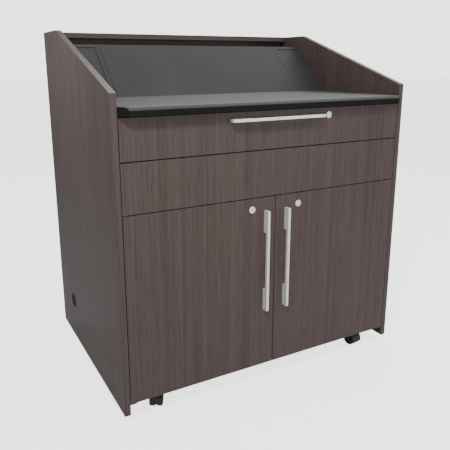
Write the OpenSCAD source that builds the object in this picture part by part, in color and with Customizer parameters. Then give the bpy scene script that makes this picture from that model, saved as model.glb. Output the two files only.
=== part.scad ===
// Presentation lectern on casters: a wide laminate cabinet with a black worktop,
// a sloped equipment panel, one drawer, a fixed apron and two pivoting doors.
// Millimetres, +Z up, front towards -Y, origin on the floor below the middle.

/* [Cabinet] */
// Width over the two side panels
cabinet_w = 1067; // [960:1:1200]
// Depth of the side panels
cabinet_d = 750; // [700:1:820]
// Height of the side panels at the back
panel_h = 1148; // [1146:1:1180]
// Height of the side panels at the front
front_h = 963; // [955:1:975]
// Length of the level stretch along the top of a side panel
flat_top = 188; // [150:1:220]
// Thickness of the boards
board = 19; // [18:0.5:20]
// Gap between the side panels and the floor
floor_gap = 25; // [25:1:35]

/* [Worktop] */
// Thickness of the worktop
worktop_t = 26; // [24:1:28]
// Height of the worktop's top face above the side panels' bottom
worktop_h = 927; // [925:1:930]
// How far the worktop stands out in front of the side panels
worktop_front = 25; // [20:1:30]
// Depth at which the sloped panel meets the worktop
slope_foot = 396; // [390:1:410]
// Radius of the worktop's upper front edge
nose_r = 10; // [6:1:12]

/* [Sloped panel] */
// Angle of the sloped panel above the level
slope_angle = 42; // [38:1:45]
// Length of the sloped panel, measured up the slope
slope_len = 264; // [250:1:268]
// Width of the middle piece of the sloped panel
slope_mid_w = 754; // [700:2:780]
// Thickness of the sloped panel
slope_t = 16; // [14:1:18]

/* [Fronts] */
// Height of the seam between drawer and apron
drawer_seam_h = 776; // [774:1:778]
// Height of the seam between apron and doors
door_seam_h = 626; // [624:1:630]
// Height of the doors' lower edge
door_bottom_h = 37; // [37:1:40]
// Width of the gaps between the fronts
front_gap = 3; // [2.5:0.5:3.5]
// Gap between a front and a side panel
side_gap = 2.5; // [2.5:0.5:3]
// How far a drawer slide reaches
slide_len = 350; // [300:10:360]

/* [Handles and locks] */
// Length of a bar handle
handle_len = 342; // [300:1:360]
// Width of the bar
handle_w = 9; // [8:0.5:12]
// Thickness of the bar
handle_t = 12; // [8:1:13]
// How far a handle stands out
handle_out = 24; // [23:0.5:25]
// Length of each handle foot
handle_foot = 75; // [40:1:80]
// Distance of a door handle from the cabinet's middle
handle_x = 39.5; // [36:0.5:50]
// Distance of a door lock from the cabinet's middle
door_lock_x = 89; // [80:1:110]
// Height of the door locks
door_lock_h = 589; // [588:1:590]
// Distance of the drawer lock from the cabinet's middle
drawer_lock_x = 202; // [195:1:220]
// Height of the drawer lock and the drawer handle
drawer_lock_h = 873; // [872:1:874]

/* [Casters] */
// Radius of a caster wheel
wheel_r = 25; // [22:0.5:25]
// Distance of the casters from the cabinet's middle
caster_x = 402; // [396:1:430]
// Depth of the front casters' swivel axes
caster_front_d = 64; // [56:1:70]
// Depth of the rear casters' swivel axes
caster_rear_d = 695; // [640:1:700]
// Distance from a caster's swivel axis to its axle
caster_trail = 20; // [18:1:22]

/* [Hidden] */
$fn = 64;

// colours
laminate = [0.33, 0.28, 0.26];
black_laminate = [0.12, 0.12, 0.12];
steel = [0.62, 0.63, 0.64];
nickel = [0.82, 0.82, 0.80];
black_steel = [0.10, 0.10, 0.11];
birch = [0.78, 0.68, 0.52];
nylon = [0.90, 0.89, 0.85];

// the cabinet's own depth and height axes
front_y = (worktop_front - cabinet_d) / 2;
function fy(d) = front_y + d;
function fz(h) = floor_gap + h;
inner_x = cabinet_w / 2 - board;
inner_d = cabinet_d - board;
eps = 1;

// carcass heights and depths
deck_top = door_bottom_h + board;
divider_top = door_seam_h - front_gap / 2;
divider_bottom = divider_top - board;
cleat_w = 20;
cleat_h = 120;
carcass_front = board + 5;
access_top = divider_top + 12.5;
top_rail_d = 60;
access_gap = 2;

// rear access panel screws
screw_r = 2;
screw_head_r = 4;
screw_head_t = 2.5;
screw_len = 38;
screw_xs = [-450, -150, 150, 450];
screw_hs = [door_bottom_h + board / 2, divider_bottom + board / 2];

// shelf bay
pin_r = 2.5;
pin_len = 16;
pin_in = 8;
pin_h = 330;
pin_pitch = 32;
pin_rows = [-4 : 4];
pin_ds = [100, 650];

// rack bay: 12 units of 44.45, three holes a unit, 465.1 between hole columns
rack_units = 12;
rack_unit = 44.45;
rack_hole_step = [6.35, 22.225, 38.1];
rack_hole_r = 3.5;
rack_hole_gap = 465.1;
rack_open_w = 450;
rack_d = 50;
rack_leg = 35;
rack_t = 2;
rack_mid_x = (inner_x + board / 2) / 2;

// worktop
worktop_bottom = worktop_h - worktop_t;
worktop_clip = 25;
worktop_clip_start = 4;
strike_depth = 12;
strike_front = 34;
strike_w = 6;
strike_half = 32;
bracket_t = 2.5;
bracket_leg = 25;

// sloped panel
slope_rim = 15;
slope_field = 2;
slope_seam = 1;
slope_rail_w = 40;
slope_rail_t = 20;

// doors
door_edge_x = inner_x - side_gap;
pivot_x = door_edge_x - 10;
pivot_d = 6.5;
pivot_r = 3;
pivot_clear = 0.05;
bush_r = 4.5;
bush_len = 15;
pivot_plate_t = 2.5;
pivot_plate_gap = 1;
pivot_in_door = 13;
pivot_in_apron = 18;

// cam locks
lock_r = 9.5;
lock_flange_r = 11;
lock_flange_t = 2;
lock_len = 34;
plug_r = 6;
plug_clear = 0.05;
plug_out = 2.5;
plug_end = 35.5;
cam_t = 2.5;
cam_w = 12;
door_cam_len = 26;
drawer_cam_len = 36;
key_slot = [1.6, 7, 6];

// drawer
drawer_box_t = 12;
drawer_box_end = 400;
drawer_box_bottom = 785;
drawer_box_h = 80;
drawer_floor_up = 6;
drawer_floor_t = 6;
drawer_top_gap = 4;

// telescopic slides, all sizes seen along Y
slide_t = 12.7;
slide_sheet = 1.5;
slide_h = 45;
slide_mid_h = 41.2;
slide_in_h = 37.4;
slide_start = 22;
slide_centre_h = 825;
drawer_box_x = inner_x - slide_t;

// cable grommets
grommet_d = 566;
grommet_h = 155;
grommet_r = 25;
grommet_flange_r = 28;
grommet_flange_t = 2;
grommet_bore_r = 22;

// casters
plate_w = 50;
plate_t = 2.5;
plate_hole = 18;
caster_screw_r = 2;
caster_screw_head_r = 4;
caster_screw_len = 15;
caster_top = fz(door_bottom_h);
kingpin_r = 5;
kingpin_clear = 0.05;
wheel_w = 15;
wheel_gap = 0.8;
wheel_shoulder = 4.5;
wheel_dish = 1.2;
wheel_dish_r = [7, 17];
web_t = 9;
web_low_r = wheel_r - 4;
hood_r = wheel_r + 2.5;
hood_t = 1.6;
kingpin_foot = wheel_r + hood_r / 2 + 2;
axle_r = 3;
axle_clear = 0.05;
boss_r = 10;
boss_top = caster_top - plate_t - 1;
fl_turn = -120;
fr_turn = -85;
rl_turn = 75;
rr_turn = 120;

// ---------- helpers ----------

// a board between two x, two depths and two heights
module slab(x0, x1, d0, d1, h0, h1)
    translate([x0, fy(d0), fz(h0)]) cube([x1 - x0, d1 - d0, h1 - h0]);

// round bar or hole along Y from depth d0 to d1
module y_rod(r, x, d0, d1, h)
    translate([x, fy(d1), fz(h)]) rotate([90, 0, 0]) cylinder(r = r, h = d1 - d0);

// round bar or hole along X
module x_rod(r, x0, x1, d, h)
    translate([x0, fy(d), fz(h)]) rotate([0, 90, 0]) cylinder(r = r, h = x1 - x0);

// round bar or hole along Z between two heights
module z_rod(r, x, d, h0, h1)
    translate([x, fy(d), fz(h0)]) cylinder(r = r, h = h1 - h0);

// the sloped panel's own axes: X across, Y up the slope, Z out of its face
module on_slope()
    translate([0, fy(slope_foot), fz(worktop_h)]) rotate([slope_angle, 0, 0]) children();

// ---------- cabinet ----------

module side_panel(side)
    color(laminate) difference() {
        translate([side * (inner_x + board / 2) - board / 2, 0, 0]) rotate([90, 0, 90])
            linear_extrude(board) polygon([
                [fy(0), fz(0)],
                [fy(cabinet_d), fz(0)],
                [fy(cabinet_d), fz(panel_h)],
                [fy(cabinet_d - flat_top), fz(panel_h)],
                [fy(0), fz(front_h)]
            ]);
        translate([side * (inner_x + board / 2), 0, 0])
            x_rod(grommet_r, -board, board, grommet_d, grommet_h);
        if (side < 0) pin_holes(-inner_x, -1);
    }

// rows of blind holes for the shelf pins, sunk from the face at x
module pin_holes(x, way)
    for (d = pin_ds, row = pin_rows)
        x_rod(pin_r, min(x, x + way * pin_in), max(x, x + way * pin_in), d,
              pin_h - pin_r + row * pin_pitch);

module top_rail()
    color(laminate)
        slab(-inner_x, inner_x, cabinet_d - top_rail_d, cabinet_d, panel_h - board, panel_h);

module back_panel()
    color(laminate)
        slab(-inner_x, inner_x, inner_d, cabinet_d, access_top + front_gap, panel_h - board);

module rear_access_panel()
    color(laminate) difference() {
        slab(-inner_x + access_gap, inner_x - access_gap, inner_d, cabinet_d,
             door_bottom_h, access_top);
        rear_screws();
    }

module rear_screws()
    for (x = screw_xs, h = screw_hs) {
        y_rod(screw_r, x, cabinet_d - screw_len, cabinet_d, h);
        y_rod(screw_head_r, x, cabinet_d - screw_head_t, cabinet_d, h);
    }

module rear_panel_screws()
    color(steel) rear_screws();

module slope_rail(y0)
    on_slope() translate([-inner_x, y0, -slope_t - slope_rail_t])
        cube([2 * inner_x, slope_rail_w, slope_rail_t]);

module slope_rail_lower()
    color(birch) slope_rail(slope_rim);

module slope_rail_upper()
    color(birch) slope_rail(slope_len - slope_rim - slope_rail_w);

module slope_panel_middle()
    color(black_laminate) on_slope()
        translate([-slope_mid_w / 2, 0, -slope_t]) cube([slope_mid_w, slope_len, slope_t]);

// a filler beside the middle piece, with a shallow sunk field inside a rim
module slope_filler(side) {
    inner_edge = slope_mid_w / 2 + slope_seam;
    fill_w = inner_x - inner_edge;
    color(black_laminate) on_slope() mirror([side < 0 ? 1 : 0, 0, 0])
        translate([inner_edge, 0, -slope_t]) difference() {
            cube([fill_w, slope_len, slope_t]);
            translate([slope_rim, slope_rim, slope_t - slope_field])
                cube([fill_w - 2 * slope_rim, slope_len - 2 * slope_rim, slope_field + eps]);
        }
}

// ---------- worktop ----------

module worktop() {
    back = slope_foot;
    color(black_laminate) difference() {
        slab(-inner_x, inner_x, -worktop_front, back, worktop_bottom, worktop_h);
        difference() {
            slab(-inner_x - eps, inner_x + eps, -worktop_front - eps, -worktop_front + nose_r,
                 worktop_h - nose_r, worktop_h + eps);
            x_rod(nose_r, -inner_x - 2 * eps, inner_x + 2 * eps, -worktop_front + nose_r,
                  worktop_h - nose_r);
        }
        for (side = [-1, 1]) worktop_corner(side);
        slab(drawer_lock_x - strike_half, drawer_lock_x + strike_half, strike_front,
             strike_front + strike_w, worktop_bottom - eps, worktop_bottom + strike_depth);
    }
}

// the wedge cut off a front corner
module worktop_corner(side) {
    run = worktop_front - worktop_clip_start;
    slope = worktop_clip / run;
    translate([0, 0, fz(worktop_bottom) - eps]) linear_extrude(worktop_t + 2 * eps) polygon([
        [side * (inner_x + eps * slope), fy(-worktop_clip_start) + eps],
        [side * (inner_x - worktop_clip - eps * slope), fy(-worktop_front) - eps],
        [side * (inner_x + worktop_clip), fy(-worktop_front) - eps],
        [side * (inner_x + worktop_clip), fy(-worktop_clip_start) + eps]
    ]);
}

module worktop_brackets()
    color(steel) for (side = [-1, 1]) mirror([side < 0 ? 1 : 0, 0, 0]) {
        slab(inner_x - bracket_leg, inner_x, 60, 340, worktop_bottom - bracket_t, worktop_bottom);
        slab(inner_x - bracket_t, inner_x, 60, 340, worktop_bottom - bracket_leg,
             worktop_bottom);
    }

// ---------- lower carcass ----------

module apron_panel()
    color(laminate) difference() {
        slab(-door_edge_x, door_edge_x, 0, board, door_seam_h + front_gap / 2,
             drawer_seam_h - front_gap / 2);
        for (side = [-1, 1])
            z_rod(pivot_r, side * pivot_x, pivot_d, door_seam_h,
                  door_seam_h + front_gap / 2 + pivot_in_apron);
    }

// blocks that hold the apron to the side panels
module apron_cleats() {
    middle = (door_seam_h + drawer_seam_h) / 2;
    color(birch) for (side = [-1, 1]) mirror([side < 0 ? 1 : 0, 0, 0])
        slab(inner_x - cleat_w, inner_x, board, board + cleat_w, middle - cleat_h / 2,
             middle + cleat_h / 2);
}

module bottom_deck()
    color(laminate) difference() {
        slab(-inner_x, inner_x, carcass_front, inner_d, door_bottom_h, deck_top);
        rear_screws();
        caster_screw_set();
    }

module center_partition()
    color(laminate) difference() {
        slab(-board / 2, board / 2, carcass_front, inner_d, deck_top, divider_bottom);
        pin_holes(-board / 2, 1);
    }

module bay_divider()
    color(laminate) difference() {
        slab(-inner_x, inner_x, carcass_front, inner_d, divider_bottom, divider_top);
        rear_screws();
        for (side = [-1, 1])
            slab(side * door_lock_x - strike_half, side * door_lock_x + strike_half,
                 strike_front, strike_front + strike_w, divider_bottom - eps,
                 divider_bottom + strike_depth);
    }

module adjustable_shelf()
    color(laminate)
        slab(-inner_x + 1, -board / 2 - 1, 60, inner_d - 11, pin_h, pin_h + board);

module shelf_pins()
    color(nickel) for (d = pin_ds) {
        x_rod(pin_r, -inner_x - pin_in, -inner_x + pin_len - pin_in, d, pin_h - pin_r);
        x_rod(pin_r, -board / 2 - pin_len + pin_in, -board / 2 + pin_in, d, pin_h - pin_r);
    }

// an angle rail with its row of rack holes; out is the side it is fixed to
module rack_rail(out) {
    wall_x = out < 0 ? board / 2 : inner_x;
    open_x = rack_mid_x + out * rack_open_w / 2;
    hole_x = rack_mid_x + out * rack_hole_gap / 2;
    foot = deck_top + 2;
    rail_h = rack_units * rack_unit;
    color(black_steel) difference() {
        union() {
            slab(min(wall_x, open_x), max(wall_x, open_x), rack_d, rack_d + rack_t,
                 foot, foot + rail_h);
            slab(min(wall_x, wall_x - out * rack_t), max(wall_x, wall_x - out * rack_t),
                 rack_d, rack_d + rack_leg, foot, foot + rail_h);
        }
        for (unit = [0 : rack_units - 1], step = rack_hole_step)
            y_rod(rack_hole_r, hole_x, rack_d - eps, rack_d + rack_t + eps,
                  foot + unit * rack_unit + step);
    }
}

module cable_grommets()
    color(black_steel) for (side = [-1, 1]) mirror([side < 0 ? 1 : 0, 0, 0]) difference() {
        union() {
            x_rod(grommet_r, inner_x, cabinet_w / 2, grommet_d, grommet_h);
            x_rod(grommet_flange_r, cabinet_w / 2, cabinet_w / 2 + grommet_flange_t,
                  grommet_d, grommet_h);
        }
        x_rod(grommet_bore_r, inner_x - eps, cabinet_w / 2 + board, grommet_d, grommet_h);
    }

// ---------- door pivots ----------

module pivot_brackets()
    color(black_steel) for (side = [-1, 1]) mirror([side < 0 ? 1 : 0, 0, 0]) {
        top = door_bottom_h - pivot_plate_gap;
        slab(pivot_x - 10, inner_x, 0.5, 75, top - pivot_plate_t, top);
        slab(inner_x - pivot_plate_t, inner_x, 45, 75, 10, top);
        z_rod(pivot_r, pivot_x, pivot_d, top - pivot_plate_t, door_bottom_h + pivot_in_door);
    }

module top_pivot_pins()
    color(black_steel) for (side = [-1, 1])
        z_rod(pivot_r, side * pivot_x, pivot_d, divider_top - pivot_in_door,
              door_seam_h + front_gap / 2 + pivot_in_apron);

// ---------- drawer slides ----------

// a channel lying along Y: web against the side panel or the box, lips facing across
module slide_channel(side, web, lip0, lip1, height, start)
    mirror([side < 0 ? 1 : 0, 0, 0]) color(steel) {
        slab(inner_x - web - slide_sheet, inner_x - web, start, start + slide_len,
             slide_centre_h - height / 2, slide_centre_h + height / 2);
        for (edge = [-1, 1])
            slab(inner_x - lip1, inner_x - lip0, start, start + slide_len,
                 slide_centre_h + edge * (height - slide_sheet) / 2 - slide_sheet / 2,
                 slide_centre_h + edge * (height - slide_sheet) / 2 + slide_sheet / 2);
    }

module slide_outer(side)
    slide_channel(side, 0, 0, 10.5, slide_h, slide_start);

module slide_middle(side)
    slide_channel(side, 2, 2, 10.5, slide_mid_h, slide_start);

module slide_inner(side)
    slide_channel(side, slide_t - slide_sheet, 4, slide_t, slide_in_h, slide_start);

// ---------- handles and locks ----------

// a bar handle along X, its feet on the plane y = 0, its bar towards -Y
module bar_handle()
    color(nickel) {
        translate([-handle_len / 2, -handle_out, -handle_w / 2])
            cube([handle_len, handle_t, handle_w]);
        for (x = [-handle_len / 2, handle_len / 2 - handle_foot])
            translate([x, -handle_out, -handle_w / 2]) cube([handle_foot, handle_out, handle_w]);
    }

module lock_housing(x, h)
    color(nickel) difference() {
        union() {
            y_rod(lock_flange_r, x, -lock_flange_t, 0, h);
            y_rod(lock_r, x, 0, lock_len, h);
        }
        y_rod(plug_r + plug_clear, x, -lock_flange_t - eps, lock_len + eps, h);
    }

// plug and cam in the open position; way is the side the cam points to
module lock_plug(x, h, cam_len, way)
    color(nickel) {
        difference() {
            y_rod(plug_r, x, -plug_out, plug_end, h);
            translate([x - key_slot[0] / 2, fy(-plug_out) - eps, fz(h) - key_slot[1] / 2])
                cube([key_slot[0], key_slot[2] + eps, key_slot[1]]);
        }
        reach = cam_len - cam_w / 2;
        y_rod(cam_w / 2, x, plug_end, plug_end + cam_t, h);
        y_rod(cam_w / 2, x + way * reach, plug_end, plug_end + cam_t, h);
        slab(min(x, x + way * reach), max(x, x + way * reach), plug_end, plug_end + cam_t,
             h - cam_w / 2, h + cam_w / 2);
    }

// ---------- doors ----------

module door(side)
    color(laminate) mirror([side < 0 ? 1 : 0, 0, 0]) difference() {
        slab(front_gap / 2, door_edge_x, 0, board, door_bottom_h, divider_top);
        y_rod(lock_r, door_lock_x, -eps, board + eps, door_lock_h);
        z_rod(bush_r, pivot_x, pivot_d, door_bottom_h - eps, door_bottom_h + bush_len);
        z_rod(bush_r, pivot_x, pivot_d, divider_top - bush_len, divider_top + eps);
    }

module door_bushes(side)
    color(nylon) mirror([side < 0 ? 1 : 0, 0, 0])
        for (h = [door_bottom_h, divider_top - bush_len]) difference() {
            z_rod(bush_r, pivot_x, pivot_d, h, h + bush_len);
            z_rod(pivot_r + pivot_clear, pivot_x, pivot_d, h - eps, h + bush_len + eps);
        }

module door_handle(side)
    translate([side * handle_x, fy(0), fz(door_lock_h - 177)])
        rotate([0, 90, 0]) bar_handle();

// ---------- drawer ----------

module drawer_front()
    color(laminate) difference() {
        slab(-door_edge_x, door_edge_x, 0, board, drawer_seam_h + front_gap / 2,
             worktop_bottom - drawer_top_gap);
        y_rod(lock_r, drawer_lock_x, -eps, board + eps, drawer_lock_h);
    }

module drawer_side(side)
    color(birch) mirror([side < 0 ? 1 : 0, 0, 0])
        slab(drawer_box_x - drawer_box_t, drawer_box_x, board, drawer_box_end,
             drawer_box_bottom, drawer_box_bottom + drawer_box_h);

module drawer_back()
    color(birch)
        slab(-drawer_box_x + drawer_box_t, drawer_box_x - drawer_box_t,
             drawer_box_end - drawer_box_t, drawer_box_end, drawer_box_bottom,
             drawer_box_bottom + drawer_box_h);

module drawer_bottom()
    color(birch)
        slab(-drawer_box_x + drawer_box_t, drawer_box_x - drawer_box_t, board,
             drawer_box_end - drawer_box_t, drawer_box_bottom + drawer_floor_up,
             drawer_box_bottom + drawer_floor_up + drawer_floor_t);

module drawer_handle()
    translate([0, fy(0), fz(drawer_lock_h)]) bar_handle();

// ---------- casters ----------

function caster_pos(right, rear) =
    [(right ? 1 : -1) * caster_x, fy(rear ? caster_rear_d : caster_front_d), 0];

module at_casters()
    for (right = [false, true], rear = [false, true]) translate(caster_pos(right, rear)) children();

module caster_plates()
    color(steel) at_casters() difference() {
        translate([-plate_w / 2, -plate_w / 2, caster_top - plate_t])
            cube([plate_w, plate_w, plate_t]);
        for (x = [-plate_hole, plate_hole], y = [-plate_hole, plate_hole])
            translate([x, y, caster_top - plate_t - eps])
                cylinder(r = caster_screw_r, h = plate_t + 2 * eps);
        translate([0, 0, caster_top - plate_t - eps])
            cylinder(r = kingpin_r, h = plate_t + 2 * eps);
    }

module caster_kingpins()
    color(steel) at_casters() translate([0, 0, kingpin_foot])
        cylinder(r = kingpin_r, h = caster_top - kingpin_foot);

module caster_screw_set()
    at_casters() for (x = [-plate_hole, plate_hole], y = [-plate_hole, plate_hole])
        translate([x, y, caster_top - plate_t]) cylinder(r = caster_screw_r, h = caster_screw_len);

module caster_screws()
    color(steel) {
        caster_screw_set();
        at_casters() for (x = [-plate_hole, plate_hole], y = [-plate_hole, plate_hole])
            translate([x, y, caster_top - plate_t - 2])
                cylinder(r = caster_screw_head_r, h = 2);
    }

// round bar along the axle's axis, centred on it
module axle_rod(r, w)
    translate([caster_trail, 0, wheel_r]) rotate([90, 0, 0]) cylinder(r = r, h = w, center = true);

// swivel fork: a web between the wheels, a hood over them and a boss on the kingpin
module caster_fork(right, rear, turn) {
    full_w = web_t + 2 * (wheel_gap + wheel_w);
    color(black_steel) translate(caster_pos(right, rear)) rotate([0, 0, turn]) difference() {
        union() {
            difference() {
                union() {
                    axle_rod(hood_r, web_t);
                    difference() {
                        axle_rod(hood_r, full_w);
                        axle_rod(hood_r - hood_t, full_w + 2 * eps);
                    }
                    translate([0, 0, wheel_r + 5])
                        cylinder(r = boss_r, h = boss_top - wheel_r - 5);
                }
                translate([caster_trail - 2 * hood_r, -full_w, -wheel_r])
                    cube([4 * hood_r, 2 * full_w, 2 * wheel_r - 9]);
            }
            axle_rod(web_low_r, web_t);
        }
        for (face = [-1, 1]) wheel_room(face);
        translate([0, 0, -eps]) cylinder(r = kingpin_r + kingpin_clear, h = caster_top);
        axle_rod(axle_r + axle_clear, web_t + 2 * eps);
    }
}

// the space a wheel turns in
module wheel_room(face)
    translate([caster_trail, face * (web_t / 2), wheel_r]) rotate([-90 * face, 0, 0])
        cylinder(r = hood_r - hood_t, h = wheel_w + 5);

// half section of a wheel: a bored disc with a round shoulder and a shallow dish in its face
module wheel_section() {
    bore = axle_r + axle_clear;
    shoulder_x = wheel_r - wheel_shoulder;
    shoulder_y = wheel_w - wheel_shoulder;
    difference() {
        translate([bore, 0]) square([wheel_r - bore, wheel_w]);
        difference() {
            translate([shoulder_x, shoulder_y]) square(wheel_shoulder + eps);
            translate([shoulder_x, shoulder_y]) circle(wheel_shoulder);
        }
        translate([wheel_dish_r[0], wheel_w - wheel_dish])
            square([wheel_dish_r[1] - wheel_dish_r[0], wheel_dish + eps]);
    }
}

module caster_wheels(right, rear, turn)
    translate(caster_pos(right, rear)) rotate([0, 0, turn]) {
        color(black_steel) for (face = [-1, 1])
            translate([caster_trail, face * (web_t / 2 + wheel_gap), wheel_r])
                rotate([-90 * face, 0, 0]) rotate_extrude() wheel_section();
        color(steel) axle_rod(axle_r, web_t + 2 * wheel_gap + 2 * wheel_w);
    }

side_panel(-1);  // side_panel_left
side_panel(1);  // side_panel_right
top_rail();
back_panel();
rear_access_panel();
rear_panel_screws();
slope_panel_middle();
slope_filler(-1);  // slope_panel_left
slope_filler(1);  // slope_panel_right
slope_rail_lower();
slope_rail_upper();
worktop();
worktop_brackets();
apron_panel();
apron_cleats();
bottom_deck();
center_partition();
bay_divider();
adjustable_shelf();
shelf_pins();
rack_rail(-1);  // rack_rail_left
rack_rail(1);  // rack_rail_right
cable_grommets();
pivot_brackets();
top_pivot_pins();
slide_outer(-1);  // slide_outer_left
slide_outer(1);  // slide_outer_right
slide_middle(-1);  // slide_middle_left
slide_middle(1);  // slide_middle_right
slide_inner(-1);  // slide_inner_left
slide_inner(1);  // slide_inner_right
drawer_front();
drawer_side(-1);  // drawer_side_left
drawer_side(1);  // drawer_side_right
drawer_back();
drawer_bottom();
drawer_handle();
lock_housing(drawer_lock_x, drawer_lock_h);  // drawer_lock_housing
lock_plug(drawer_lock_x, drawer_lock_h, drawer_cam_len, 1);  // drawer_lock_plug
door(-1);  // door_left
door_handle(-1);  // door_left_handle
door_bushes(-1);  // door_left_bushes
lock_housing(-door_lock_x, door_lock_h);  // door_left_lock_housing
lock_plug(-door_lock_x, door_lock_h, door_cam_len, -1);  // door_left_lock_plug
door(1);  // door_right
door_handle(1);  // door_right_handle
door_bushes(1);  // door_right_bushes
lock_housing(door_lock_x, door_lock_h);  // door_right_lock_housing
lock_plug(door_lock_x, door_lock_h, door_cam_len, 1);  // door_right_lock_plug
caster_plates();
caster_kingpins();
caster_screws();
caster_fork(false, false, fl_turn);  // caster_front_left_fork
caster_wheels(false, false, fl_turn);  // caster_front_left_wheels
caster_fork(true, false, fr_turn);  // caster_front_right_fork
caster_wheels(true, false, fr_turn);  // caster_front_right_wheels
caster_fork(false, true, rl_turn);  // caster_rear_left_fork
caster_wheels(false, true, rl_turn);  // caster_rear_left_wheels
caster_fork(true, true, rr_turn);  // caster_rear_right_fork
caster_wheels(true, true, rr_turn);  // caster_rear_right_wheels
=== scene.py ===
"""Looks for the presentation lectern: materials, softened edges, small trim, studio light and camera.

Everything is in metres in the CAD frame: +Z up, the front towards -Y, the origin on the floor.
"""

import math

import bmesh
import bpy
from mathutils import Matrix, Vector


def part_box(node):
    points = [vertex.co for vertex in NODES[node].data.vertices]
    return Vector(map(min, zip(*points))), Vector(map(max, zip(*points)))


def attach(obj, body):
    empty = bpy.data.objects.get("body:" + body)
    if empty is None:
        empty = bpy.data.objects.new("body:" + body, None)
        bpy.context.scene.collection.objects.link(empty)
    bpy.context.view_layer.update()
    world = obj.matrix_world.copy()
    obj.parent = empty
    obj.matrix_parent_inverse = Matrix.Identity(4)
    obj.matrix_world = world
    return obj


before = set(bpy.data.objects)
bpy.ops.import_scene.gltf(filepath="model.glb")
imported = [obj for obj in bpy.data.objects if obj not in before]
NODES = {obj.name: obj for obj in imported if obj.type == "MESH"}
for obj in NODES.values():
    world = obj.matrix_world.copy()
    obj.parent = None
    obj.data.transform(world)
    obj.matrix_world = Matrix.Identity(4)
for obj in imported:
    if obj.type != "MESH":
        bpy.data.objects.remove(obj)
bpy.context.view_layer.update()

# ---------------------------------------------------------------- camera

CAMERA_PLACE = Vector((-0.9714, -1.7483, 1.0647))
CAMERA_YAW = math.radians(28.573)
CAMERA_PITCH = math.radians(-13.853)
CAMERA_ROLL = math.radians(-0.205)
CAMERA_LENS = 43.264
CAMERA_SHIFT = (0.01893, -0.06496)


def make_camera():
    """A camera turned by yaw to the right, pitched down and rolled a little."""
    data = bpy.data.cameras.new("camera")
    data.lens = CAMERA_LENS
    data.sensor_width = 36.0
    data.shift_x, data.shift_y = CAMERA_SHIFT
    camera = bpy.data.objects.new("camera", data)
    bpy.context.scene.collection.objects.link(camera)
    turn = Matrix.Rotation(-CAMERA_YAW, 4, "Z") @ Matrix.Rotation(math.pi / 2 + CAMERA_PITCH, 4, "X")
    camera.matrix_world = Matrix.Translation(CAMERA_PLACE) @ turn @ Matrix.Rotation(CAMERA_ROLL, 4, "Z")
    bpy.context.scene.camera = camera


# ---------------------------------------------------------------- shader helpers


class Shader:
    """One material's node tree, built with short calls."""

    def __init__(self, name):
        self.material = bpy.data.materials.new(name)
        self.material.use_nodes = True
        self.tree = self.material.node_tree
        self.bsdf = self.tree.nodes["Principled BSDF"]
        self.place = self.node("ShaderNodeTexCoord")

    def node(self, kind, **settings):
        made = self.tree.nodes.new(kind)
        for key, value in settings.items():
            setattr(made, key, value)
        return made

    def link(self, source, target):
        self.tree.links.new(source, target)

    def feed(self, socket, value):
        """Sets a socket to a number or links it to another socket."""
        if isinstance(value, bpy.types.NodeSocket):
            self.link(value, socket)
        else:
            socket.default_value = value

    def math(self, operation, a, b=0.0, c=0.0):
        made = self.node("ShaderNodeMath", operation=operation)
        for socket, value in zip(made.inputs, (a, b, c)):
            self.feed(socket, value)
        return made.outputs[0]

    def stretched(self, scale, vector=None):
        """Object coordinates multiplied by a scale for each axis."""
        made = self.node("ShaderNodeVectorMath", operation="MULTIPLY")
        self.feed(made.inputs[0], vector or self.place.outputs["Object"])
        made.inputs[1].default_value = scale
        return made.outputs[0]

    def noise(self, vector, scale=1.0, detail=2.0, roughness=0.5):
        made = self.node("ShaderNodeTexNoise")
        self.link(vector, made.inputs["Vector"])
        made.inputs["Scale"].default_value = scale
        made.inputs["Detail"].default_value = detail
        made.inputs["Roughness"].default_value = roughness
        return made.outputs["Fac"]

    def remap(self, value, low, high, to_low=0.0, to_high=1.0):
        """Carries the span low..high over to to_low..to_high."""
        made = self.node("ShaderNodeMapRange")
        for socket, x in zip(made.inputs, (value, low, high, to_low, to_high)):
            self.feed(socket, x)
        return made.outputs[0]

    def mix(self, share, a, b):
        """A colour between a and b."""
        made = self.node("ShaderNodeMix", data_type="RGBA")
        self.feed(made.inputs["Factor"], share)
        self.feed(made.inputs[6], a if isinstance(a, bpy.types.NodeSocket) else (*a, 1.0))
        self.feed(made.inputs[7], b if isinstance(b, bpy.types.NodeSocket) else (*b, 1.0))
        return made.outputs[2]

    def mix_vector(self, share, a, b):
        """A vector between a and b."""
        made = self.node("ShaderNodeMix", data_type="VECTOR")
        self.feed(made.inputs["Factor"], share)
        self.feed(made.inputs[4], a)
        self.feed(made.inputs[5], b)
        return made.outputs[1]

    def bump(self, height, strength, distance):
        made = self.node("ShaderNodeBump")
        made.inputs["Strength"].default_value = strength
        made.inputs["Distance"].default_value = distance
        self.link(height, made.inputs["Height"])
        self.link(made.outputs[0], self.bsdf.inputs["Normal"])

    def finish(self, color, roughness, metallic=0.0, specular=0.5):
        """Sets the shader's own values and gives back the material."""
        self.feed(self.bsdf.inputs["Base Color"], color)
        self.feed(self.bsdf.inputs["Roughness"], roughness)
        self.bsdf.inputs["Metallic"].default_value = metallic
        self.bsdf.inputs["Specular IOR Level"].default_value = specular
        return self.material


# ---------------------------------------------------------------- laminate

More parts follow.
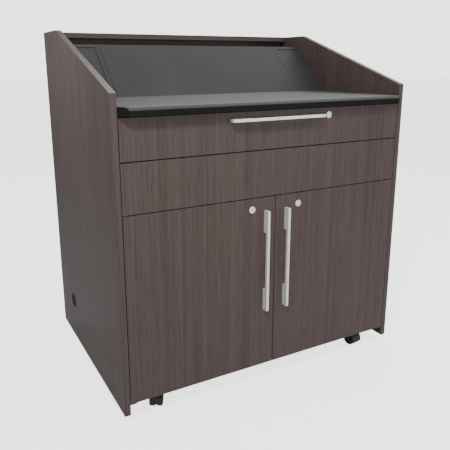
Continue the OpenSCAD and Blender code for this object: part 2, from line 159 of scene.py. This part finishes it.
X, Y, Z = 0, 1, 2
BOARDS = {
    # node: (grain axis, thickness axis)
    "side_panel_left": (Z, X),
    "side_panel_right": (Z, X),
    "door_left": (Z, Y),
    "door_right": (Z, Y),
    "drawer_front": (Z, Y),
    "apron_panel": (Z, Y),
    "back_panel": (X, Y),
    "rear_access_panel": (Z, Y),
    "top_rail": (X, Z),
    "bottom_deck": (X, Z),
    "bay_divider": (X, Z),
    "adjustable_shelf": (X, Z),
    "center_partition": (Z, X),
}
LAMINATE_DARK = (0.036, 0.024, 0.021)
LAMINATE_MID = (0.061, 0.043, 0.039)
LAMINATE_LIGHT = (0.112, 0.084, 0.078)
# texture scales along and across the grain
ALONG = 1.0
ACROSS = 100.0
# the edges are painted lighter from EDGE_NEAR to EDGE_FAR away from them, partly as edge wear and partly
# as a painted edge highlight
EDGE_NEAR = 0.0002
EDGE_FAR = 0.0012


def grain_vector(s, grain, thickness):
    """Coordinates stretched along the grain axis, or along the edge band on the board's end faces."""
    scale = [ACROSS] * 3
    scale[grain] = ALONG
    end_scale = [ALONG] * 3
    end_scale[thickness] = ACROSS
    split = s.node("ShaderNodeSeparateXYZ")
    s.link(s.place.outputs["Normal"], split.inputs[0])
    on_end = s.math("GREATER_THAN", s.math("ABSOLUTE", split.outputs[grain]), 0.5)
    return s.mix_vector(on_end, s.stretched(scale), s.stretched(end_scale))


def edge_distance(s, low, high):
    """Distance from a point on a box's surface to the box's nearest edge."""
    split = s.node("ShaderNodeSeparateXYZ")
    s.link(s.place.outputs["Object"], split.inputs[0])
    gaps = []
    for axis in range(3):
        below = s.math("SUBTRACT", split.outputs[axis], low[axis])
        above = s.math("SUBTRACT", high[axis], split.outputs[axis])
        gaps.append(s.math("MINIMUM", below, above))
    smaller = s.math("MINIMUM", gaps[0], gaps[1])
    larger = s.math("MAXIMUM", gaps[0], gaps[1])
    return s.math("MAXIMUM", smaller, s.math("MINIMUM", larger, gaps[2]))


def laminate(name, node, grain, thickness):
    """Dark fine-grained laminate: broad bands, streaks and short pores along one axis."""
    s = Shader(name)
    v = grain_vector(s, grain, thickness)
    bands = s.noise(v, 0.22, 2.0, 0.5)
    streaks = s.noise(v, 1.0, 3.0, 0.62)
    fine = s.noise(v, 6.0, 3.0, 0.65)
    pores = s.noise(v, 9.0, 1.0, 0.4)
    broad = s.remap(bands, 0.3, 0.7, -0.12, 0.12)
    tone = s.math("ADD", broad, s.remap(streaks, 0.28, 0.72, 0.16, 0.74))
    tone = s.math("ADD", tone, s.remap(fine, 0.3, 0.7, -0.15, 0.15))
    base = s.mix(tone, LAMINATE_MID, LAMINATE_LIGHT)
    pore_mask = s.remap(pores, 0.60, 0.70, 0.0, 0.75)
    base = s.mix(pore_mask, base, LAMINATE_DARK)
    low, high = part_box(node)
    # painted edge highlight mixed with edge wear: the colour turns lighter towards every edge of the board
    edge_wear_and_highlight = s.remap(edge_distance(s, low, high), EDGE_NEAR, EDGE_FAR, 0.2, 0.0)
    base = s.mix(edge_wear_and_highlight, base, LAMINATE_LIGHT)
    streak_rough = s.remap(streaks, 0.3, 0.7, 0.38, 0.46)
    rough = s.math("ADD", streak_rough, s.math("MULTIPLY", pore_mask, 0.12))
    height = s.math("SUBTRACT", s.math("MULTIPLY", fine, 0.5), pore_mask)
    s.bump(height, 0.25, 0.0002)
    return s.finish(base, rough, specular=0.25)


# ---------------------------------------------------------------- other materials


def black_laminate():
    """Satin dark grey worktop with a fine pebble and faint wiping marks."""
    s = Shader("black_laminate")
    pebble = s.noise(s.stretched((1, 1, 1)), 1400.0, 2.0, 0.6)
    wipe = s.noise(s.stretched((3, 14, 3)), 1.0, 4.0, 0.6)
    color = s.mix(s.remap(wipe, 0.3, 0.7), (0.040, 0.040, 0.039), (0.052, 0.052, 0.050))
    wiped = s.remap(wipe, 0.3, 0.7, 0.44, 0.54)
    rough = s.math("ADD", wiped, s.remap(pebble, 0.3, 0.7, -0.03, 0.03))
    s.bump(pebble, 0.12, 0.0002)
    return s.finish(color, rough, specular=0.4)


def black_panel():
    """Satin black sheet with a fine powder texture."""
    s = Shader("black_panel")
    powder = s.noise(s.stretched((1, 1, 1)), 1800.0, 2.0, 0.7)
    cloud = s.noise(s.stretched((5, 5, 5)), 1.0, 3.0, 0.55)
    color = s.mix(s.remap(cloud, 0.3, 0.7), (0.027, 0.027, 0.028), (0.039, 0.039, 0.040))
    clouded = s.remap(cloud, 0.3, 0.7, 0.56, 0.64)
    rough = s.math("ADD", clouded, s.remap(powder, 0.3, 0.7, -0.04, 0.04))
    s.bump(powder, 0.15, 0.0002)
    return s.finish(color, rough, specular=0.25)


def brushed(name, axis, color_low, color_high, rough_low, rough_high, metallic=1.0):
    """Metal with fine lines along one axis."""
    s = Shader(name)
    scale = [2600.0] * 3
    scale[axis] = 26.0
    lines = s.noise(s.stretched(scale), 1.0, 2.0, 0.6)
    cloud = s.noise(s.stretched((18, 18, 18)), 1.0, 2.0, 0.5)
    color = s.mix(lines, color_low, color_high)
    lined = s.remap(lines, 0.3, 0.7, rough_low, rough_high)
    rough = s.math("ADD", lined, s.remap(cloud, 0.3, 0.7, 0.0, 0.05))
    s.bump(lines, 0.08, 0.00008)
    return s.finish(color, rough, metallic=metallic)


def plastic(name, color_low, color_high, rough, grain):
    """Moulded plastic with a fine spark texture."""
    s = Shader(name)
    spark = s.noise(s.stretched((1, 1, 1)), grain, 2.0, 0.6)
    cloud = s.noise(s.stretched((30, 30, 30)), 1.0, 3.0, 0.5)
    color = s.mix(cloud, color_low, color_high)
    sparked = s.remap(spark, 0.3, 0.7, rough - 0.05, rough + 0.05)
    roughness = s.math("ADD", sparked, s.remap(cloud, 0.3, 0.7, -0.03, 0.03))
    s.bump(spark, 0.15, 0.0002)
    return s.finish(color, roughness)


def edge_band_plastic():
    """Dull black plastic band with a faint lengthwise drag."""
    s = Shader("edge_band")
    drag = s.noise(s.stretched((6, 900, 900)), 1.0, 2.0, 0.5)
    cloud = s.noise(s.stretched((9, 9, 9)), 1.0, 2.0, 0.5)
    s.bump(drag, 0.1, 0.0001)
    color = s.mix(cloud, (0.007, 0.007, 0.007), (0.011, 0.011, 0.011))
    return s.finish(color, s.remap(drag, 0.3, 0.7, 0.44, 0.56), specular=0.1)


def birch():
    """Pale lacquered plywood for the drawer box and battens."""
    s = Shader("birch")
    grain = s.noise(s.stretched((2, 90, 90)), 1.0, 4.0, 0.6)
    fleck = s.noise(s.stretched((60, 900, 900)), 1.0, 2.0, 0.5)
    color = s.mix(s.remap(grain, 0.3, 0.7), (0.50, 0.36, 0.21), (0.68, 0.53, 0.35))
    color = s.mix(s.remap(fleck, 0.62, 0.72, 0.0, 0.4), color, (0.38, 0.26, 0.15))
    s.bump(grain, 0.1, 0.0003)
    return s.finish(color, s.remap(grain, 0.3, 0.7, 0.42, 0.55))


def paint(nodes, material):
    """Gives the nodes one material, in place of what they had."""
    for name in nodes:
        slots = NODES[name].data.materials
        slots.clear()
        slots.append(material)


def paint_everything():
    for node, (grain, thickness) in BOARDS.items():
        paint([node], laminate("laminate_" + node, node, grain, thickness))
    paint(["worktop"], black_laminate())
    paint(["slope_panel_middle", "slope_panel_left", "slope_panel_right"], black_panel())
    silver = ((0.84, 0.84, 0.82), (0.95, 0.95, 0.93))
    paint(["drawer_handle"], brushed("bar_metal_x", X, *silver, 0.40, 0.48, 0.5))
    paint(["door_left_handle", "door_right_handle"], brushed("bar_metal_z", Z, *silver, 0.40, 0.48, 0.5))
    locks = [n for n in NODES if "lock_housing" in n or "lock_plug" in n]
    paint(locks, brushed("lock_metal", Y, (0.90, 0.90, 0.88), (0.97, 0.97, 0.95), 0.34, 0.42, 0.45))
    zinc = brushed("zinc", Y, (0.42, 0.43, 0.44), (0.60, 0.61, 0.62), 0.30, 0.45)
    steel = [n for n in NODES if n.startswith(("slide_", "rear_panel_screws", "worktop_brackets"))]
    steel += ["shelf_pins", "caster_plates", "caster_kingpins", "caster_screws"]
    paint(steel, zinc)
    powder = plastic("rack_steel", (0.014, 0.014, 0.015), (0.022, 0.022, 0.024), 0.5, 1500.0)
    paint(["rack_rail_left", "rack_rail_right", "pivot_brackets", "top_pivot_pins"], powder)
    grommet = plastic("grommet_plastic", (0.012, 0.013, 0.012), (0.020, 0.021, 0.020), 0.42, 1600.0)
    paint(["cable_grommets"], grommet)
    wood = [n for n in NODES if n.startswith(("slope_rail", "drawer_side", "apron_cleats"))]
    wood += ["drawer_back", "drawer_bottom"]
    paint(wood, birch())
    nylon = plastic("nylon", (0.66, 0.65, 0.60), (0.74, 0.73, 0.68), 0.45, 1200.0)
    paint(["door_left_bushes", "door_right_bushes"], nylon)
    fork = plastic("caster_plastic", (0.016, 0.016, 0.018), (0.024, 0.024, 0.026), 0.36, 1500.0)
    wheel = plastic("wheel_plastic", (0.020, 0.020, 0.022), (0.032, 0.032, 0.034), 0.46, 1300.0)
    paint([n for n in NODES if n.startswith("caster_") and n.endswith("_fork")], fork)
    paint([n for n in NODES if n.startswith("caster_") and n.endswith("_wheels")], wheel)


# ---------------------------------------------------------------- worktop edge band

BAND_T = 0.0004
NOSE_R = 0.010
# how far each clipped corner reaches sideways and back
CORNER_CLIP = (0.025, 0.021)
CORNER_STEPS = 12
# sideways share of the band's outward direction at a clipped corner
CORNER_LEAN = 0.64
ON_FRONT = 1e-6


def worktop_outline(low, high):
    """Plan points along the worktop's front edge, close together over the clipped corners."""
    clip_x, clip_y = CORNER_CLIP
    shares = [i / CORNER_STEPS for i in range(CORNER_STEPS + 1)]
    left = [(low.x + clip_x * (1 - t), low.y + clip_y * t) for t in reversed(shares)]
    right = [(high.x - clip_x * (1 - t), low.y + clip_y * t) for t in shares]
    return left + right


def nose_top(y, low, high):
    """Height at which the worktop's rounded nose ends, for a place y on its edge."""
    back = min(y - low.y, NOSE_R)
    return high.z - NOSE_R + math.sqrt(NOSE_R ** 2 - (NOSE_R - back) ** 2)


def make_edge_band():
    """A thin black band over the upright faces of the worktop's front edge."""
    low, high = (Vector(corner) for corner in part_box("worktop"))
    mesh = bpy.data.meshes.new("worktop_edge_band")
    b = bmesh.new()
    rings = []
    for x, y in worktop_outline(low, high):
        on_front = abs(x) <= high.x - CORNER_CLIP[0] + ON_FRONT
        side = 0.0 if on_front else math.copysign(CORNER_LEAN, x)
        out = Vector((side, -1.0)).normalized() * BAND_T
        outer_x, outer_y = x + out.x, y + out.y
        top = nose_top(y, low, high)
        section = ((x, y, top), (outer_x, outer_y, top - BAND_T), (outer_x, outer_y, low.z), (x, y, low.z))
        rings.append([b.verts.new(corner) for corner in section])
    for first, second in zip(rings, rings[1:]):
        for i in range(4):
            b.faces.new((first[i], first[(i + 1) % 4], second[(i + 1) % 4], second[i]))
    b.faces.new(rings[0])
    b.faces.new(rings[-1])
    bmesh.ops.recalc_face_normals(b, faces=b.faces)
    b.to_mesh(mesh)
    b.free()
    mesh.materials.append(edge_band_plastic())
    band = bpy.data.objects.new("worktop_edge_band", mesh)
    bpy.context.scene.collection.objects.link(band)
    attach(band, "root")


# ---------------------------------------------------------------- softened edges

WELD_REACH = 0.00001
SHARP_EDGE = math.radians(35)
BOARD_EDGE = 0.0007
WORKTOP_EDGE = 0.0015
SLOPE_EDGE = 0.0004
HANDLE_EDGE = 0.0020
LOCK_EDGE = 0.0014
PLUG_EDGE = 0.0004
WHEEL_EDGE = 0.0022
FORK_EDGE = 0.0005


def soften(node, width, segments=2):
    """Rounds a CAD node's sharp edges with modifiers, so that they catch the light."""
    o = NODES[node]
    weld = o.modifiers.new("weld", "WELD")
    weld.merge_threshold = WELD_REACH
    bevel = o.modifiers.new("bevel", "BEVEL")
    bevel.width = width
    bevel.segments = segments
    bevel.limit_method = "ANGLE"
    bevel.angle_limit = SHARP_EDGE
    bevel.use_clamp_overlap = True
    o.modifiers.new("normals", "WEIGHTED_NORMAL")


def soften_everything():
    """Softens the boards and fittings. The rear panel is left sharp: its screw holes would crease."""
    for node in BOARDS:
        if node != "rear_access_panel":
            soften(node, BOARD_EDGE)
    soften("worktop", WORKTOP_EDGE, 3)
    for node in ("slope_panel_middle", "slope_panel_left", "slope_panel_right"):
        soften(node, SLOPE_EDGE)
    for node in NODES:
        if node.endswith("handle"):
            soften(node, HANDLE_EDGE, 4)
        if "lock_housing" in node:
            soften(node, LOCK_EDGE, 4)
        if "lock_plug" in node:
            soften(node, PLUG_EDGE)
        if node.endswith("_wheels"):
            soften(node, WHEEL_EDGE, 3)
        if node.endswith("_fork"):
            soften(node, FORK_EDGE)


# ---------------------------------------------------------------- studio

WORLD_STRENGTH = 0.40
BACKDROP_STRENGTH = 2.8
FLOOR_GLOW = 2.3
FLOOR_RADIUS = 40.0
LIGHTS = (
    # name, place, target, size, power, spread in degrees
    ("key", (-1.15, -1.50, 2.65), (-0.30, -0.36, 0.75), (0.35, 0.35), 9.0, 80.0),
    ("right", (2.1, -2.1, 2.8), (0.2, 0.0, 0.8), (1.2, 1.2), 20.0, 150.0),
    ("front_right", (2.3, -3.4, 0.9), (0.0, -0.4, 0.7), (0.9, 0.9), 5.0, 120.0),
    ("front", (-0.6, -4.0, 1.1), (0.0, 0.0, 0.7), (2.0, 2.0), 27.0, 150.0),
    ("left", (-2.0, 0.2, 1.15), (-0.53, 0.1, 1.15), (0.5, 0.5), 1.7, 52.0),
    ("overhead_right", (1.7, -0.4, 3.0), (0.2, -0.2, 0.95), (1.2, 1.8), 8.0, 150.0),
    ("overhead_left", (-0.3, 0.2, 3.4), (-0.1, 0.1, 1.0), (1.2, 1.4), 14.0, 150.0),
    ("back", (1.3, 2.5, 3.4), (0.0, 0.0, 1.0), (1.6, 1.0), 18.0, 150.0),
    ("back_right", (2.3, 1.5, 3.1), (0.2, -0.2, 0.95), (1.2, 1.0), 17.0, 150.0),
)


def floor_material():
    """Pale matt floor, nearly as bright as the backdrop, so that only soft shadows show."""
    s = Shader("floor")
    speckle = s.noise(s.stretched((1, 1, 1)), 3.0, 3.0, 0.5)
    s.finish(s.mix(speckle, (0.60, 0.60, 0.60), (0.64, 0.64, 0.64)), 0.9, specular=0.1)
    seen = s.node("ShaderNodeLightPath").outputs["Is Camera Ray"]
    s.bsdf.inputs["Emission Color"].default_value = (1.0, 1.0, 1.0, 1.0)
    s.feed(s.bsdf.inputs["Emission Strength"], s.math("MULTIPLY", seen, FLOOR_GLOW))
    return s.material


def make_floor():
    mesh = bpy.data.meshes.new("floor")
    b = bmesh.new()
    bmesh.ops.create_circle(b, cap_ends=True, radius=FLOOR_RADIUS, segments=96)
    b.to_mesh(mesh)
    b.free()
    mesh.materials.append(floor_material())
    floor = bpy.data.objects.new("floor", mesh)
    bpy.context.scene.collection.objects.link(floor)


def area_light(name, place, target, size, power, spread):
    """A rectangular light that isn't seen itself."""
    data = bpy.data.lights.new(name, "AREA")
    data.shape = "RECTANGLE"
    data.size, data.size_y = size
    data.energy = power
    data.spread = math.radians(spread)
    light = bpy.data.objects.new(name, data)
    bpy.context.scene.collection.objects.link(light)
    aim = (Vector(target) - Vector(place)).to_track_quat("-Z", "Y")
    light.matrix_world = Matrix.Translation(place) @ aim.to_matrix().to_4x4()
    light.visible_camera = False


def make_studio():
    """Even dim world light, a bright pale backdrop and the area lights."""
    world = bpy.data.worlds.new("studio")
    world.use_nodes = True
    tree = world.node_tree
    lighting = tree.nodes["Background"]
    lighting.inputs["Strength"].default_value = WORLD_STRENGTH
    lighting.inputs["Color"].default_value = (1.0, 1.0, 1.0, 1.0)
    backdrop = tree.nodes.new("ShaderNodeBackground")
    backdrop.inputs["Strength"].default_value = BACKDROP_STRENGTH
    backdrop.inputs["Color"].default_value = (1.0, 1.0, 1.0, 1.0)
    mix = tree.nodes.new("ShaderNodeMixShader")
    tree.links.new(tree.nodes.new("ShaderNodeLightPath").outputs["Is Camera Ray"], mix.inputs[0])
    tree.links.new(lighting.outputs[0], mix.inputs[1])
    tree.links.new(backdrop.outputs[0], mix.inputs[2])
    tree.links.new(mix.outputs[0], tree.nodes["World Output"].inputs[0])
    bpy.context.scene.world = world
    for name, place, target, size, power, spread in LIGHTS:
        area_light(name, place, target, size, power, spread)


# ---------------------------------------------------------------- everything


make_camera()
paint_everything()
soften_everything()
make_edge_band()
make_floor()
make_studio()
